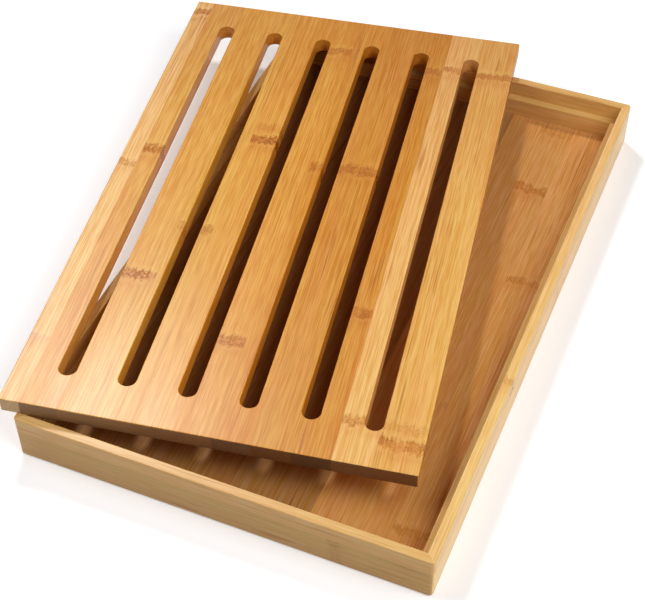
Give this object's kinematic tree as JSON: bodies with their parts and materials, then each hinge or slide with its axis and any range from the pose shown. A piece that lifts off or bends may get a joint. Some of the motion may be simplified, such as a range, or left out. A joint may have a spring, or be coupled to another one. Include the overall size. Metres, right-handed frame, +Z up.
{
  "type": "bread board with crumb tray",
  "caption": "Slotted wooden bread board that lies askew on a shallow framed tray, which catches the crumbs; the board lifts off.",
  "frame": {"origin": "middle of the underside of the tray, on the surface that the tray stands on", "axes": "+Z up; +Y along the tray's length, from its front wall to its back wall; +X to the right seen from the front"},
  "size_m": [0.3216, 0.4243, 0.041],
  "materials": {
    "bamboo_wall": "satin lacquer",
    "bamboo_floor": "satin lacquer",
    "bamboo_ledge": "satin lacquer",
    "bamboo_golden": "satin lacquer",
    "bamboo_warm": "satin lacquer",
    "bamboo_pale": "satin lacquer"
  },
  "bodies": {
    "tray": {"front_wall_lower": "bamboo_wall", "front_wall_upper": "bamboo_wall", "right_wall_lower": "bamboo_wall", "right_wall_upper": "bamboo_wall", "back_wall_lower": "bamboo_wall", "back_wall_upper": "bamboo_wall", "left_wall_lower": "bamboo_wall", "left_wall_upper": "bamboo_wall", "floor_stave_01": "bamboo_floor", "floor_stave_02": "bamboo_floor", "floor_stave_03": "bamboo_floor", "floor_stave_04": "bamboo_floor", "floor_stave_05": "bamboo_floor", "floor_stave_06": "bamboo_floor", "floor_stave_07": "bamboo_floor", "floor_stave_08": "bamboo_floor", "floor_stave_09": "bamboo_floor", "floor_stave_10": "bamboo_floor", "floor_stave_11": "bamboo_floor", "floor_stave_12": "bamboo_floor", "front_ledge": "bamboo_ledge", "right_ledge": "bamboo_ledge", "back_ledge": "bamboo_ledge", "left_ledge": "bamboo_ledge"},
    "board": {"board_stave_01": "bamboo_pale", "board_stave_02": "bamboo_golden", "board_stave_03": "bamboo_golden", "board_stave_04": "bamboo_golden", "board_stave_05": "bamboo_golden", "board_stave_06": "bamboo_warm", "board_stave_07": "bamboo_warm", "board_stave_08": "bamboo_warm", "board_stave_09": "bamboo_warm", "board_stave_10": "bamboo_pale", "board_stave_11": "bamboo_golden"}
  },
  "joints": [
    {"name": "board_lift", "type": "slide", "parent": "tray", "child": "board", "axis": [0, 0, 1], "range_m": [0, 0.12]}
  ]
}
